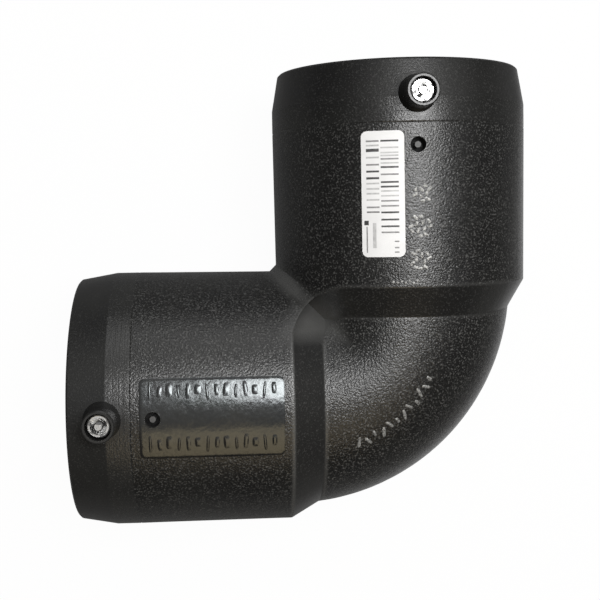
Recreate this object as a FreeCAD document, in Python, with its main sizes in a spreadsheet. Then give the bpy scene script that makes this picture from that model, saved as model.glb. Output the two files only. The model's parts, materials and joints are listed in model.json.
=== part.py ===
"""Electrofusion pipe elbow, 90 degrees, lying on its side, in millimetres.

The upper socket opens towards +Y and the left socket towards -X. Both axes lie in one level
plane and cross at a point called the crossing here. The terminals stand on the upper side, +Z.
Every form is drawn about the crossing, and each finished piece is then moved so that the
origin is the middle of the base.
"""

import math
import os
import FreeCAD, Part
from FreeCAD import Placement, Rotation, Vector
import Sketcher

# Driving dimensions: alias, value in millimetres unless the words say otherwise, meaning
SIZES = [
    ("pipe_diameter", 90.0, "outside diameter of the pipe that the sockets take"),
    ("pipe_wall", 8.2, "wall of that pipe, which the waterway follows"),
    ("pipe_clearance", 0.5, "gap between pipe and socket, on the radius"),
    ("collar_wall", 12.0, "wall of the collar outside the socket bore, at the shoulder"),
    ("collar_flare", 0.65, "how much the collar widens from shoulder to groove, on the radius"),
    ("bend_radius", 51.3, "the bend's own axis to the middle of the waterway"),
    ("bend_wall", 14.25, "wall on the outer side of the bend"),
    ("bend_top_wall", 13.1, "wall over and under the waterway in the bend"),
    ("bend_slimming", 3.2, "how much narrower the bend's section is half way, on the radius"),
    ("socket_depth", 79.0, "mouth to pipe stop"),
    ("stop_land", 16.9, "pipe stop to the corner of the shoulder"),
    ("crotch_overlap", 4.6, "how far each shoulder corner stays inside the other collar"),
    ("shoulder_length", 19.0, "length of the sloping shoulder, its foot inside the bend"),
    ("shoulder_sink", 3.18, "how far that foot lies under the bend's skin"),
    ("shoulder_round", 1.2, "rounding of the shoulder's corner"),
    ("band_length", 16.5, "length of the smooth tapered band at the mouth"),
    ("band_drop", 2.7, "how much the band narrows to the mouth, on the radius"),
    ("mouth_chamfer", 0.8, "chamfer of the outer mouth edge"),
    ("lead_in", 1.5, "chamfer at the socket's mouth"),
    ("witness_setback", 27.0, "mouth to the fine groove round the collar"),
    ("witness_width", 0.8, "width of that groove"),
    ("witness_depth", 0.15, "depth of that groove"),
    ("web_reach", 2.2, "how far the crotch web stands out from the corner, along the diagonal"),
    ("web_radius", 47.8, "radius of the web's rounded back"),
    ("web_width", 28.0, "width of the web across the diagonal, most of it inside the collars"),
    ("web_round", 26.0, "plan radius of the round that joins the two shoulder corners"),
    ("web_slope", 5.0, "slope of that round's wall off upright, in degrees"),
    ("web_overlap", 2.0, "how far the corner fill runs on into the collars"),
    ("wire_size", 1.2, "thickness of the heating wire"),
    ("wire_play", 0.05, "gap round the wire in its seat"),
    ("link_size", 1.3, "width and height of the wire's link run"),
    ("link_rise", 0.6, "how much deeper in the wall the link lies than the coil"),
    ("coil_turns", 6.0, "turns of the coil in each socket, a whole number"),
    ("coil_pitch", 7.0, "spacing of the turns"),
    ("coil_margin", 1.2, "recess beyond the first and the last turn"),
    ("terminal_setback", 15.5, "mouth to the terminal's axis"),
    ("shroud_height", 13.5, "collar to the shroud's rim"),
    ("shroud_radius", 6.8, "outer radius at the rim"),
    ("shroud_base_radius", 8.2, "outer radius where the shroud meets the collar"),
    ("shroud_flare", 4.0, "height over which the shroud widens to its base"),
    ("shroud_sink", 0.5, "how far that base lies under the collar's crown"),
    ("shroud_bore", 5.5, "inner radius"),
    ("shroud_floor", 2.5, "collar to the floor inside the shroud"),
    ("shroud_chamfer", 0.5, "chamfer of the rim"),
    ("head_radius", 4.8, "outer radius of the terminal's contact cup"),
    ("head_setback", 2.2, "rim of the shroud to the cup's rim"),
    ("cup_bore", 3.5, "inner radius of the contact cup"),
    ("cup_depth", 7.0, "depth of the cup round the pin"),
    ("pin_radius", 2.0, "radius of the contact pin"),
    ("pin_setback", 1.2, "rim of the shroud to the pin's tip"),
    ("pin_chamfer", 0.5, "chamfer of the pin's tip and of the cup's rim"),
    ("shank_radius", 1.6, "radius of the terminal's shank in the wall"),
    ("anchor_radius", 3.4, "radius of the ring that holds the terminal in the wall"),
    ("anchor_depth", 4.0, "floor of the shroud to the top of that ring"),
    ("anchor_height", 1.6, "thickness of that ring"),
    ("insert_play", 0.03, "gap round the moulded-in metal and the plugs"),
    ("indicator_radius", 3.2, "radius of the indicator's well"),
    ("indicator_depth", 7.0, "depth of the well"),
    ("plug_pin_radius", 1.3, "radius of the indicator's pin"),
    ("plug_base_height", 1.6, "thickness of the indicator's foot"),
    ("plug_setback", 0.4, "collar to the tip of the indicator's pin"),
    ("label_length", 52.5, "length along the collar"),
    ("label_width", 18.0, "width round the collar"),
    ("label_corner", 2.5, "corner radius"),
    ("label_thickness", 0.25, "thickness of the film"),
    ("label_setback", 30.55, "mouth to the label's near end"),
    ("label_turn", 14.7, "turn of the label towards the inner side, in degrees"),
    ("label_gap", 0.02, "glue line under the film"),
    ("overrun", 1.0, "how far a cutting form runs on past the surface that it cuts"),
]

# Sizes worked out from the driving ones, as expressions on the sheet
SOCKET_R = "(sizes.pipe_diameter / 2 + sizes.pipe_clearance)"
COLLAR_R = f"({SOCKET_R} + sizes.collar_wall)"
WATERWAY_R = "(sizes.pipe_diameter / 2 - sizes.pipe_wall)"
BEND_REACH = f"(sizes.bend_radius + {WATERWAY_R} + sizes.bend_wall)"
BEND_TOP_R = f"({WATERWAY_R} + sizes.bend_top_wall)"
SHOULDER = f"({COLLAR_R} - sizes.crotch_overlap)"
SHOULDER_FOOT = f"({SHOULDER} - sizes.shoulder_length)"
SHOULDER_FOOT_R = f"({BEND_TOP_R} - sizes.shoulder_sink)"
STOP = f"({SHOULDER} + sizes.stop_land)"
MOUTH = f"({STOP} + sizes.socket_depth)"
FLARED_R = f"({COLLAR_R} + sizes.collar_flare)"
MOUTH_R = f"({FLARED_R} - sizes.band_drop)"
WITNESS = f"({MOUTH} - sizes.witness_setback)"
FLARE_END = f"({WITNESS} - sizes.witness_width / 2)"
FLARE_SLOPE = f"(sizes.collar_flare / ({FLARE_END} - {SHOULDER}))"
WEB_MIDDLE = f"({SHOULDER} - sizes.web_round)"

TURNS = "round(sizes.coil_turns)"
BEND_SECTIONS = 7
COIL_LENGTH = f"({TURNS} * sizes.coil_pitch)"
COIL_START = f"({MOUTH} - sizes.terminal_setback)"
COIL_END = f"({COIL_START} - {COIL_LENGTH})"
COIL_EDGE = f"({COIL_END} + sizes.wire_size / 2)"
COIL_IN_R = f"({SOCKET_R} + sizes.wire_play)"
LINK_IN_R = f"({COIL_IN_R} + sizes.link_rise)"
COIL_OUT_R = f"({COIL_IN_R} + sizes.wire_size)"
RECESS_R = f"({COIL_OUT_R} + sizes.wire_play)"
RECESS_START = f"({COIL_START} + sizes.wire_size / 2 + sizes.coil_margin)"
RECESS_END = f"({COIL_END} - sizes.wire_size / 2 - sizes.coil_margin)"
INDICATOR = f"(({COIL_START} + {COIL_END}) / 2)"

RIM = f"({COLLAR_R} + sizes.shroud_height)"
FLOOR = f"({COLLAR_R} + sizes.shroud_floor)"
CUP_TOP = f"({RIM} - sizes.head_setback)"
PIN_TOP = f"({RIM} - sizes.pin_setback)"
ANCHOR_TOP = f"({FLOOR} - sizes.anchor_depth)"
ANCHOR_FOOT = f"({ANCHOR_TOP} - sizes.anchor_height)"
WELL_FLOOR = f"({COLLAR_R} - sizes.indicator_depth)"

# Where the crossing lies in the part's own frame
CROSSING = (f"({MOUTH} - {FLARED_R}) / 2", f"-({MOUTH} - {FLARED_R}) / 2", FLARED_R)

doc = FreeCAD.newDocument("elbow")
sheet = doc.addObject("Spreadsheet::Sheet", "sizes")
for row, (alias, value, meaning) in enumerate(SIZES, start=1):
    sheet.set(f"A{row}", str(value))
    sheet.setAlias(f"A{row}", alias)
    sheet.set(f"B{row}", meaning)
doc.recompute()


def size(expression):
    """The value that an expression on the sheet has now."""
    return float(sheet.evalExpression(expression))


def place(item, x="0", y="0", z="0"):
    """Bind an object's position to expressions."""
    for letter, expression in zip("xyz", (x, y, z)):
        item.setExpression(f"Placement.Base.{letter}", expression)


def new_body(name):
    return doc.addObject("PartDesign::Body", name)


def new_sketch(body, role, name, offset="0"):
    """A sketch on one of the body's own planes, offset along that plane's normal."""
    plane = next(item for item in body.Origin.OriginFeatures if item.Role == role)
    sketch = body.newObject("Sketcher::SketchObject", name)
    sketch.AttachmentSupport = [(plane, "")]
    sketch.MapMode = "FlatFace"
    sketch.setExpression("AttachmentOffset.Base.z", offset)
    return sketch


def fix_point(sketch, edge, end, x, y):
    """Tie one end of an edge to expressions for its two coordinates."""
    for kind, expression in (("DistanceX", x), ("DistanceY", y)):
        rule = Sketcher.Constraint(kind, -1, 1, edge, end, size(expression))
        number = sketch.addConstraint(rule)
        sketch.setExpression(f"Constraints[{number}]", expression)


def plan_round(before, corner, after, radius):
    """The arc that rounds a corner, and which of its ends lies on the side come from."""
    back = (before - corner).normalize()
    ahead = (after - corner).normalize()
    half = back.getAngle(ahead) / 2
    bisector = (back + ahead).normalize()
    middle = corner + bisector * (radius / math.sin(half))
    spots = [corner + back * (radius / math.tan(half)), corner + ahead * (radius / math.tan(half))]
    turns_left = back.x * ahead.y - back.y * ahead.x < 0
    if not turns_left:
        spots.reverse()
    first, second = [math.atan2(spot.y - middle.y, spot.x - middle.x) for spot in spots]
    if second < first:
        second += 2 * math.pi
    circle = Part.Circle(middle, Vector(0, 0, 1), radius)
    return Part.ArcOfCircle(circle, first, second), (1 if turns_left else 2)


def draw_outline(sketch, points):
    """A closed outline through (x, y) expressions, rounded where a point has a third one."""
    count = len(points)
    corners = [Vector(size(point[0]), size(point[1]), 0) for point in points]
    for index in range(count):
        line = Part.LineSegment(corners[index], corners[(index + 1) % count])
        sketch.addGeometry(line, False)
    for index, point in enumerate(points):
        line_in = (index - 1) % count
        if len(point) == 2:
            sketch.addConstraint(Sketcher.Constraint("Coincident", line_in, 2, index, 1))
            fix_point(sketch, index, 1, point[0], point[1])
            continue
        radius = size(point[2])
        arc, near_end = plan_round(corners[line_in], corners[index],
                                   corners[(index + 1) % count], radius)
        arc_edge = sketch.addGeometry(arc, False)
        corner = sketch.addGeometry(Part.Point(corners[index]), True)
        fix_point(sketch, corner, 1, point[0], point[1])
        sketch.addConstraint([
            Sketcher.Constraint("PointOnObject", corner, 1, line_in),
            Sketcher.Constraint("PointOnObject", corner, 1, index),
            Sketcher.Constraint("Tangent", line_in, 2, arc_edge, near_end),
            Sketcher.Constraint("Tangent", arc_edge, 3 - near_end, index, 1),
        ])
        number = sketch.addConstraint(Sketcher.Constraint("Radius", arc_edge, radius))
        sketch.setExpression(f"Constraints[{number}]", point[2])


def draw_circle(sketch, x, y, radius):
    """A full circle about (x, y)."""
    middle = Vector(size(x), size(y), 0)
    circle = sketch.addGeometry(Part.Circle(middle, Vector(0, 0, 1), size(radius)), False)
    fix_point(sketch, circle, 3, x, y)
    number = sketch.addConstraint(Sketcher.Constraint("Radius", circle, size(radius)))
    sketch.setExpression(f"Constraints[{number}]", radius)


def draw_axis(sketch, x):
    """An upright construction line at x, to turn a profile about."""
    line = Part.LineSegment(Vector(size(x), -1, 0), Vector(size(x), 1, 0))
    edge = sketch.addGeometry(line, True)
    fix_point(sketch, edge, 1, x, "-1")
    fix_point(sketch, edge, 2, x, "1")


def turn(body, sketch, name, axis="V_Axis", angle=360.0):
    """Revolve a sketch about one of its own axes."""
    feature = body.newObject("PartDesign::Revolution", name)
    feature.Profile = sketch
    feature.ReferenceAxis = (sketch, [axis])
    feature.Angle = angle
    return feature


def fuse(name, items):
    group = doc.addObject("Part::MultiFuse", name)
    group.Shapes = items
    return group


def along_arm(arm, points):
    """Turn (along the arm, out from its axis) points into plan points of that arm."""
    if arm == "upper":
        return [(out, along, *rounding) for along, out, *rounding in points]
    return [(f"-({along})", out, *rounding) for along, out, *rounding in points]


def arm_axis(arm):
    return "V_Axis" if arm == "upper" else "H_Axis"


def collar(arm):
    """The outside of one socket: shoulder, collar, fine groove and tapered mouth band."""
    band_start = f"({MOUTH} - sizes.band_length)"
    body = new_body(f"{arm}_collar")
    sketch = new_sketch(body, "XY_Plane", f"{arm}_collar_profile")
    draw_outline(sketch, along_arm(arm, [
        (SHOULDER_FOOT, "0"),
        (SHOULDER_FOOT, SHOULDER_FOOT_R),
        (SHOULDER, COLLAR_R, "sizes.shoulder_round"),
        (FLARE_END, FLARED_R),
        (WITNESS, f"{FLARED_R} - sizes.witness_depth"),
        (f"{WITNESS} + sizes.witness_width / 2", FLARED_R),
        (band_start, FLARED_R),
        (f"{MOUTH} - sizes.mouth_chamfer", MOUTH_R),
        (MOUTH, f"{MOUTH_R} - sizes.mouth_chamfer"),
        (MOUTH, "0"),
    ]))
    turn(body, sketch, f"{arm}_collar_turned", arm_axis(arm))
    return body


def bend_outside():
    """The bend's skin: sections that get narrower half way and all reach the same outer circle."""
    sections = []
    down = Vector(0, 0, -1)
    for number in range(BEND_SECTIONS):
        angle = math.pi / 2 * number / (BEND_SECTIONS - 1)
        slim_share = math.sin(2 * angle) ** 4
        half_width = f"({BEND_TOP_R} - sizes.bend_slimming * {slim_share:.6f})"
        section = doc.addObject("Part::Ellipse", f"bend_section_{number}")
        section.setExpression("MajorRadius", BEND_TOP_R)
        section.setExpression("MinorRadius", half_width)
        outward = Vector(math.cos(angle), -math.sin(angle), 0)
        section.Placement.Rotation = Rotation(down, outward, down.cross(outward))
        place(section, f"-sizes.bend_radius + ({BEND_REACH} - {half_width}) * {outward.x:.9f}",
              f"sizes.bend_radius + ({BEND_REACH} - {half_width}) * {outward.y:.9f}")
        sections.append(section)
    skin = doc.addObject("Part::Loft", "bend_outside")
    skin.Sections = sections
    skin.Solid = True
    return skin


def bend_core():
    """The waterway's quarter turn, of round section, whose ends lie on the two arms."""
    body = new_body("bend_core")
    sketch = new_sketch(body, "XZ_Plane", "bend_core_section", "-sizes.bend_radius")
    draw_circle(sketch, "0", "0", WATERWAY_R)
    draw_axis(sketch, "-sizes.bend_radius")
    quarter = turn(body, sketch, "bend_core_quarter", "Axis0", 90.0)
    quarter.Reversed = True
    return body


def web_back():
    """The narrow web that fills the valley between the two collars."""
    reach = f"({COLLAR_R} * sqrt(2) + sizes.web_reach)"
    body = new_body("web_back")
    section = new_sketch(body, "XZ_Plane", "web_section")
    section.AttachmentOffset = Placement(Vector(0, 0, 0), Rotation(Vector(0, 1, 0), -45))
    draw_circle(section, f"-({reach} - sizes.web_radius)", "0", "sizes.web_radius")
    back = body.newObject("PartDesign::Pad", "web_back_pad")
    back.Profile = section
    back.Midplane = True
    back.setExpression("Length", "sizes.web_width")
    return body


def corner_fill():
    """The collars' own roundness, carried on into the corner between the shoulders."""
    reach = f"({SHOULDER} + sizes.web_overlap)"
    for arm, turned in (("upper", Rotation(Vector(1, 0, 0), -90)),
                        ("left", Rotation(Vector(0, 1, 0), -90))):
        cylinder = doc.addObject("Part::Cylinder", f"{arm}_corner")
        cylinder.setExpression("Radius", COLLAR_R)
        cylinder.setExpression("Height", reach)
        cylinder.Placement.Rotation = turned
    block = doc.addObject("Part::Box", "corner_block")
    block.setExpression("Length", f"{reach} - {WEB_MIDDLE}")
    block.setExpression("Width", f"{reach} - {WEB_MIDDLE}")
    block.setExpression("Height", f"2 * {COLLAR_R}")
    place(block, f"-{reach}", WEB_MIDDLE, f"-{COLLAR_R}")
    fill = doc.addObject("Part::Common", "corner_fill")
    fill.Base = fuse("corner_pipes", [doc.getObject("upper_corner"), doc.getObject("left_corner")])
    fill.Tool = block
    return fill


def web_hollow():
    """The round hollow whose wall joins the two shoulder corners in an arc."""
    apex = f"({WEB_MIDDLE} + sizes.web_round / sqrt(2))"
    apex_height = f"sqrt({COLLAR_R} ^ 2 - {apex} ^ 2)"
    waist = f"(sizes.web_round - {apex_height} * tan(sizes.web_slope))"
    brim = f"({waist} + {COLLAR_R} * tan(sizes.web_slope))"
    body = new_body("web_hollow")
    sketch = new_sketch(body, "XZ_Plane", "web_hollow_profile")
    draw_outline(sketch, [
        ("0", f"-{COLLAR_R}"),
        (brim, f"-{COLLAR_R}"),
        (waist, "0"),
        (brim, COLLAR_R),
        ("0", COLLAR_R),
    ])
    turn(body, sketch, "web_hollow_turned")
    place(body, f"-{WEB_MIDDLE}", WEB_MIDDLE)
    return body


def crotch_web():
    """Everything that fills the corner between the two collars."""
    web = doc.addObject("Part::Cut", "crotch_web")
    web.Base = fuse("web_stock", [corner_fill(), web_back()])
    web.Tool = web_hollow()
    return web


def socket_core(arm):
    """The space of one socket: pipe bore, lead-in, recess for the coil, and the stop."""
    past = f"({MOUTH} + sizes.overrun)"
    body = new_body(f"{arm}_core")
    sketch = new_sketch(body, "XY_Plane", f"{arm}_core_profile")
    draw_outline(sketch, along_arm(arm, [
        ("sizes.bend_radius", "0"),
        ("sizes.bend_radius", WATERWAY_R),
        (STOP, WATERWAY_R),
        (STOP, SOCKET_R),
        (RECESS_END, SOCKET_R),
        (RECESS_END, RECESS_R),
        (RECESS_START, RECESS_R),
        (RECESS_START, SOCKET_R),
        (f"{MOUTH} - sizes.lead_in", SOCKET_R),
        (past, f"{SOCKET_R} + sizes.lead_in + sizes.overrun"),
        (past, "0"),
    ]))
    turn(body, sketch, f"{arm}_core_turned", arm_axis(arm))
    return body


def upright_body(name, arm, along, points):
    """A form turned about the upright line that crosses one arm at a given distance."""
    body = new_body(name)
    sketch = new_sketch(body, "XZ_Plane", f"{name}_profile")
    draw_outline(sketch, points)
    turn(body, sketch, f"{name}_turned")
    if arm == "upper":
        place(body, y=along)
    else:
        place(body, x=f"-{along}")
    return body


def shroud(arm):
    """The moulded tower round one terminal, and below the collar's skin a plain root."""
    root = f"({COLLAR_R} - sizes.collar_wall / 2)"
    body = upright_body(f"{arm}_shroud", arm, COIL_START, [
        ("0", root),
        ("sizes.shroud_base_radius", root),
        ("sizes.shroud_base_radius", f"{COLLAR_R} - sizes.shroud_sink"),
        ("sizes.shroud_radius", f"{COLLAR_R} + sizes.shroud_flare"),
        ("sizes.shroud_radius", f"{RIM} - sizes.shroud_chamfer"),
        ("sizes.shroud_radius - sizes.shroud_chamfer", RIM),
        ("0", RIM),
    ])
    return body


def terminal_profile(foot, play):
    """The outline of the terminal's shank and ring above its foot, with a gap all round."""
    return [
        ("0", foot),
        (f"sizes.shank_radius + {play}", foot),
        (f"sizes.shank_radius + {play}", f"{ANCHOR_FOOT} - {play}"),
        (f"sizes.anchor_radius + {play}", f"{ANCHOR_FOOT} - {play}"),
        (f"sizes.anchor_radius + {play}", f"{ANCHOR_TOP} + {play}"),
        (f"sizes.shank_radius + {play}", f"{ANCHOR_TOP} + {play}"),
        (f"sizes.shank_radius + {play}", FLOOR),
    ]


def terminal_core(arm):
    """The space inside one shroud and the seat of the terminal's shank below it."""
    outline = terminal_profile(SOCKET_R, "sizes.insert_play") + [
        ("sizes.shroud_bore", FLOOR),
        ("sizes.shroud_bore", f"{RIM} + sizes.overrun"),
        ("0", f"{RIM} + sizes.overrun"),
    ]
    return upright_body(f"{arm}_terminal_core", arm, COIL_START, outline)


def terminal(arm):
    """A turned terminal: shank with a holding ring, contact cup and pin."""
    outline = terminal_profile(f"{COIL_OUT_R} + sizes.wire_play", "0") + [
        ("sizes.head_radius", FLOOR),
        ("sizes.head_radius", f"{CUP_TOP} - sizes.pin_chamfer"),
        ("sizes.head_radius - sizes.pin_chamfer", CUP_TOP),
        ("sizes.cup_bore", CUP_TOP),
        ("sizes.cup_bore", f"{CUP_TOP} - sizes.cup_depth"),
        ("sizes.pin_radius", f"{CUP_TOP} - sizes.cup_depth"),
        ("sizes.pin_radius", f"{PIN_TOP} - sizes.pin_chamfer"),
        ("sizes.pin_radius - sizes.pin_chamfer", PIN_TOP),
        ("0", PIN_TOP),
    ]
    return upright_body(f"{arm}_terminal", arm, COIL_START, outline)


def indicator_core(arm):
    """The well of one fusion indicator."""
    return upright_body(f"{arm}_indicator_core", arm, INDICATOR, [
        ("0", WELL_FLOOR),
        ("sizes.indicator_radius", WELL_FLOOR),
        ("sizes.indicator_radius", f"{COLLAR_R} + sizes.overrun"),
        ("0", f"{COLLAR_R} + sizes.overrun"),
    ])


def indicator(arm):
    """The plug of one fusion indicator: a foot on the well's floor and a thin pin."""
    foot_radius = "sizes.indicator_radius - sizes.insert_play"
    foot_floor = f"{WELL_FLOOR} + sizes.insert_play"
    foot_top = f"{foot_floor} + sizes.plug_base_height"
    tip = f"{COLLAR_R} - sizes.plug_setback"
    return upright_body(f"{arm}_indicator", arm, INDICATOR, [
        ("0", foot_floor),
        (foot_radius, foot_floor),
        (foot_radius, foot_top),
        ("sizes.plug_pin_radius", foot_top),
        ("sizes.plug_pin_radius", tip),
        ("0", tip),
    ])


def link_strip(body, name, half_width, bottom, height, end):
    """The level strip of the wire's link: straight, a quarter turn, and straight again."""
    sketch = new_sketch(body, "XY_Plane", f"{name}_plan", bottom)
    inner = f"(sizes.bend_radius - {half_width})"
    outer = f"(sizes.bend_radius + {half_width})"
    middle = Vector(-size("sizes.bend_radius"), size("sizes.bend_radius"), 0)
    corners = [
        (half_width, "sizes.bend_radius"),
        (half_width, end),
        (f"-{half_width}", end),
        (f"-{half_width}", "sizes.bend_radius"),
        ("-sizes.bend_radius", half_width),
        (f"-{end}", half_width),
        (f"-{end}", f"-{half_width}"),
        ("-sizes.bend_radius", f"-{half_width}"),
    ]
    spots = [Vector(size(x), size(y), 0) for x, y in corners]

    def line(first, second):
        return Part.LineSegment(spots[first], spots[second])

    def arc(radius):
        circle = Part.Circle(middle, Vector(0, 0, 1), size(radius))
        return Part.ArcOfCircle(circle, -math.pi / 2, 0)

    shapes = [line(0, 1), line(1, 2), line(2, 3), arc(inner), line(4, 5), line(5, 6),
              line(6, 7), arc(outer)]
    for shape in shapes:
        sketch.addGeometry(shape, False)
    joins = [(0, 2, 1, 1), (1, 2, 2, 1), (2, 2, 3, 2), (3, 1, 4, 1), (4, 2, 5, 1), (5, 2, 6, 1),
             (6, 2, 7, 1), (7, 2, 0, 1)]
    for join in joins:
        sketch.addConstraint(Sketcher.Constraint("Coincident", *join))
    for edge, end_of_edge, (x, y) in ((0, 1, corners[0]), (1, 1, corners[1]), (2, 1, corners[2]),
                                      (2, 2, corners[3]), (4, 1, corners[4]), (5, 1, corners[5]),
                                      (6, 1, corners[6]), (6, 2, corners[7])):
        fix_point(sketch, edge, end_of_edge, x, y)
    arcs = [edge for edge, shape in enumerate(shapes) if isinstance(shape, Part.ArcOfCircle)]
    for edge, radius in zip(arcs, (inner, outer)):
        number = sketch.addConstraint(Sketcher.Constraint("Radius", edge, size(radius)))
        sketch.setExpression(f"Constraints[{number}]", radius)
    pad = body.newObject("PartDesign::Pad", name)
    pad.Profile = sketch
    pad.setExpression("Length", height)
    return pad


def link_core():
    """The channel for the link run between the two coils."""
    body = new_body("link_core")
    link_strip(body, "link_channel", "(sizes.link_size / 2 + sizes.wire_play)",
               f"{LINK_IN_R} - sizes.wire_play", "sizes.link_size + 2 * sizes.wire_play",
               f"({COIL_EDGE} + sizes.wire_play)")
    return body


def heating_wire():
    """One wire: a coil flush with each bore, and the link from one coil to the other."""
    body = new_body("heating_wire")
    link_strip(body, "link_run", "(sizes.link_size / 2)", LINK_IN_R, "sizes.link_size", COIL_EDGE)
    half = "sizes.wire_size / 2"
    for arm, role, sign in (("upper", "YZ_Plane", ""), ("left", "XZ_Plane", "-")):
        section = new_sketch(body, role, f"{arm}_wire_section")
        near = f"{sign}({COIL_START} - {half})"
        far = f"{sign}({COIL_START} + {half})"
        draw_outline(section, [
            (near, COIL_IN_R), (far, COIL_IN_R), (far, COIL_OUT_R), (near, COIL_OUT_R)])
        coil = body.newObject("PartDesign::AdditiveHelix", f"{arm}_coil")
        coil.Profile = section
        coil.ReferenceAxis = (section, ["H_Axis"])
        coil.Mode = "pitch-turns-angle"
        coil.setExpression("Pitch", "sizes.coil_pitch")
        coil.setExpression("Turns", TURNS)
        coil.Reversed = arm == "upper"
    place(body, *CROSSING)
    return body


def label():
    """A thin film with round corners that follows the collar."""
    length = "(sizes.label_length + 2 * sizes.overrun)"
    start = f"({MOUTH} - sizes.label_setback - sizes.label_length - sizes.overrun)"
    start_radius = f"({COLLAR_R} + ({start} - {SHOULDER}) * {FLARE_SLOPE})"
    ring = doc.addObject("Part::Cut", "label_ring")
    for name, height in (("label_outside", "(sizes.label_gap + sizes.label_thickness)"),
                         ("label_inside", "sizes.label_gap")):
        shell = doc.addObject("Part::Cone", name)
        shell.setExpression("Radius1", f"{start_radius} + {height}")
        shell.setExpression("Radius2", f"{start_radius} + {length} * {FLARE_SLOPE} + {height}")
        shell.setExpression("Height", length)
        shell.Placement.Rotation = Rotation(Vector(1, 0, 0), -90)
        place(shell, y=start)
    ring.Base = doc.getObject("label_outside")
    ring.Tool = doc.getObject("label_inside")
    body = new_body("label_outline")
    sketch = new_sketch(body, "XY_Plane", "label_plan")
    half = "sizes.label_width / 2"
    near = f"({MOUTH} - sizes.label_setback)"
    far = f"({near} - sizes.label_length)"
    draw_outline(sketch, [(half, near), (half, far), (f"-{half}", far), (f"-{half}", near)])
    pad = body.newObject("PartDesign::Pad", "label_block")
    pad.Profile = sketch
    pad.setExpression("Length", f"{FLARED_R} + sizes.label_thickness + sizes.overrun")
    doc.recompute()
    fillet = body.newObject("PartDesign::Fillet", "label_corners")
    upright = [f"Edge{index}" for index, edge in enumerate(pad.Shape.Edges, start=1)
               if abs(edge.tangentAt(edge.FirstParameter).z) > 0.99]
    fillet.Base = (pad, upright)
    fillet.setExpression("Radius", "sizes.label_corner")
    body.Placement.Rotation = Rotation(Vector(0, -1, 0), size("sizes.label_turn"))
    body.setExpression("Placement.Rotation.Angle", "sizes.label_turn")
    film = doc.addObject("Part::Common", "label")
    film.Base = ring
    film.Tool = body
    place(film, *CROSSING)
    return film


ARMS = ("upper", "left")

outside = fuse("outside", [bend_outside(), crotch_web()]
               + [collar(arm) for arm in ARMS] + [shroud(arm) for arm in ARMS])
inside = fuse("inside", [bend_core(), link_core()]
              + [socket_core(arm) for arm in ARMS] + [terminal_core(arm) for arm in ARMS]
              + [indicator_core(arm) for arm in ARMS])
elbow_body = doc.addObject("Part::Cut", "elbow_body")
elbow_body.Base = outside
elbow_body.Tool = inside
place(elbow_body, *CROSSING)

pieces = [elbow_body, heating_wire(), label()]
for arm in ARMS:
    for piece in (terminal(arm), indicator(arm)):
        distance = COIL_START if piece.Name.endswith("terminal") else INDICATOR
        shift_x, shift_y, shift_z = CROSSING
        if arm == "upper":
            place(piece, shift_x, f"{shift_y} + {distance}", shift_z)
        else:
            place(piece, f"{shift_x} - {distance}", shift_y, shift_z)
        pieces.append(piece)
for piece in pieces:
    piece.Label = piece.Name
doc.recompute()

for item in doc.Objects:
    if "Invalid" in item.State or "Error" in item.State:
        raise RuntimeError(f"{item.Name} failed: {item.State}")
os.makedirs("parts", exist_ok=True)
for piece in pieces:
    if piece.Shape.isNull() or not piece.Shape.isValid():
        raise RuntimeError(f"{piece.Label} has no valid shape")
    piece.Shape.exportStep(f"parts/{piece.Label}.step")
    box = piece.Shape.BoundBox
    print(piece.Label, len(piece.Shape.Solids), round(piece.Shape.Volume, 1),
          [round(value, 2) for value in (box.XMin, box.YMin, box.ZMin, box.XMax, box.YMax, box.ZMax)])
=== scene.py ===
"""The finish of a black polyethylene pipe elbow with electrofusion sockets, and its studio.

Lengths are in metres. An arm of the elbow is known by its name, upper or left. A place on an arm
is given by its setback, which is its distance from the mouth, or by its reach, which is its
distance from the crossing of the arms' axes. Its turn about the arm's axis is in degrees from
straight up, and positive towards the outer side of the bend.
"""

import json

import bpy
import numpy as np
from bpy.props import FloatProperty, FloatVectorProperty, IntProperty, PointerProperty
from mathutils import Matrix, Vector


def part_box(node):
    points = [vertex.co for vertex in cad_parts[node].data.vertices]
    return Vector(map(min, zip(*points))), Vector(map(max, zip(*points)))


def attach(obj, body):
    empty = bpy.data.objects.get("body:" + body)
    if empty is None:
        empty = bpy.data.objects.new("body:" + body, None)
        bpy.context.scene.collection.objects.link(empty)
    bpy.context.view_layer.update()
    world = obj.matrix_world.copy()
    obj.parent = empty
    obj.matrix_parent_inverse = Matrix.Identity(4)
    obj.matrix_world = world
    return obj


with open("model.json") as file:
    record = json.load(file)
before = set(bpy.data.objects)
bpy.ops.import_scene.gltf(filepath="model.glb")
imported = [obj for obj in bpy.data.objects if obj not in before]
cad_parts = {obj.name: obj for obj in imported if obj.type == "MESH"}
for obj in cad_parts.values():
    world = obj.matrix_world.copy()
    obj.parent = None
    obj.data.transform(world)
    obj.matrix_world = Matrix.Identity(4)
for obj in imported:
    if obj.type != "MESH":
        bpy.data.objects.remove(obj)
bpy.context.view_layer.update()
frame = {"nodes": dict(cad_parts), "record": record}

bl_info = {
    "name": "Pipe elbow finish",
    "version": (1, 0, 0),
    "blender": (4, 5, 0),
    "location": "View3D > Sidebar > Pipe elbow",
    "description": "Dresses a black polyethylene pipe elbow and sets up its studio",
    "category": "Object",
}

MM = 0.001
ARMS = ("upper", "left")

MOUNTS = {mount["name"]: mount for mount in frame["record"]["mounts"]}
CROSSING = np.array([MOUNTS["upper_socket"]["pos_m"][0], MOUNTS["left_socket"]["pos_m"][1],
                     MOUNTS["upper_socket"]["pos_m"][2]])

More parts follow.
